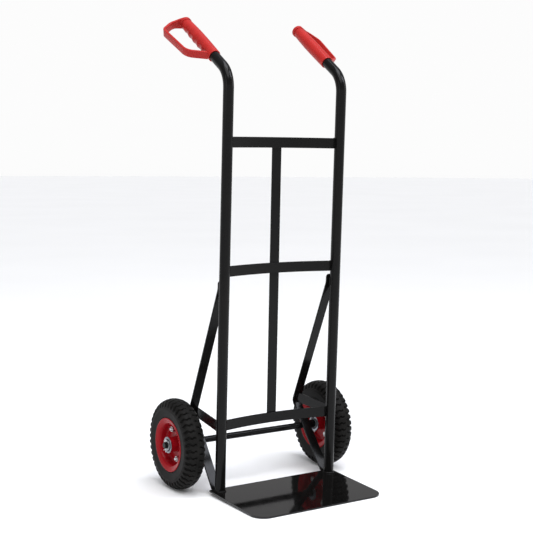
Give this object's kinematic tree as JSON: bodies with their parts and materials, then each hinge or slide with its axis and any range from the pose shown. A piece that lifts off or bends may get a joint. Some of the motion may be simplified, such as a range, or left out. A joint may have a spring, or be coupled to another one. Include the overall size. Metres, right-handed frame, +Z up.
{
  "type": "hand truck",
  "caption": "Upright two-wheeled hand truck with a bent tube frame, flat toe plate, pneumatic tyres on bolted steel rims and loop handles with knuckle guards; the wheels spin on a fixed axle.",
  "frame": {"origin": "on the floor under the middle of the whole truck's box, standing at rest on its tyres and the toe plate's front edge", "axes": "+Z up, -Y towards the load side where the toe plate sticks out, +Y back towards the handles' ends, +X to the right of someone facing the truck's back from the load side (looking along +Y)"},
  "size_m": [0.496, 0.423, 1.1274],
  "materials": {
    "frame_paint": "glossy black powder coat",
    "plate_paint": "high gloss black enamel, nearly a mirror",
    "wheel_paint": "glossy red enamel on pressed steel",
    "grip_plastic": "satin red moulded plastic",
    "tyre_rubber": "dark grey-black rubber, dull with a slight sheen on the tread",
    "tube_rubber": "matt black butyl rubber",
    "zinc": "bright zinc plated steel"
  },
  "bodies": {
    "frame": {"axle": "frame_paint", "centre_strip": "frame_paint", "lower_cross_bar": "frame_paint", "middle_cross_bar": "frame_paint", "upper_cross_bar": "frame_paint", "toe_plate": "plate_paint", "rail_left": "frame_paint", "side_brace_left": "frame_paint", "axle_stay_left": "frame_paint", "axle_saddle_left": "frame_paint", "spacer_left": "frame_paint", "washer_left": "zinc", "split_pin_left": "zinc", "handle_left": "grip_plastic", "rail_right": "frame_paint", "side_brace_right": "frame_paint", "axle_stay_right": "frame_paint", "axle_saddle_right": "frame_paint", "spacer_right": "frame_paint", "washer_right": "zinc", "split_pin_right": "zinc", "handle_right": "grip_plastic"},
    "wheel_left": {"tyre_left": "tyre_rubber", "inner_tube_left": "tube_rubber", "rim_outer_left": "wheel_paint", "rim_inner_left": "wheel_paint", "hub_left": "wheel_paint", "bearing_outer_left": "zinc", "bearing_inner_left": "zinc", "rim_bolt_left_1": "zinc", "rim_nut_left_1": "zinc", "rim_bolt_left_2": "zinc", "rim_nut_left_2": "zinc", "rim_bolt_left_3": "zinc", "rim_nut_left_3": "zinc", "rim_bolt_left_4": "zinc", "rim_nut_left_4": "zinc"},
    "wheel_right": {"tyre_right": "tyre_rubber", "inner_tube_right": "tube_rubber", "rim_outer_right": "wheel_paint", "rim_inner_right": "wheel_paint", "hub_right": "wheel_paint", "bearing_outer_right": "zinc", "bearing_inner_right": "zinc", "rim_bolt_right_1": "zinc", "rim_nut_right_1": "zinc", "rim_bolt_right_2": "zinc", "rim_nut_right_2": "zinc", "rim_bolt_right_3": "zinc", "rim_nut_right_3": "zinc", "rim_bolt_right_4": "zinc", "rim_nut_right_4": "zinc"}
  },
  "joints": [
    {"name": "wheel_left_spin", "type": "hinge", "parent": "frame", "child": "wheel_left", "pos_m": [-0.213, 0.10209, 0.1095], "axis": [1, 0, 0], "continuous": true},
    {"name": "wheel_right_spin", "type": "hinge", "parent": "frame", "child": "wheel_right", "pos_m": [0.213, 0.10209, 0.1095], "axis": [1, 0, 0], "continuous": true}
  ]
}
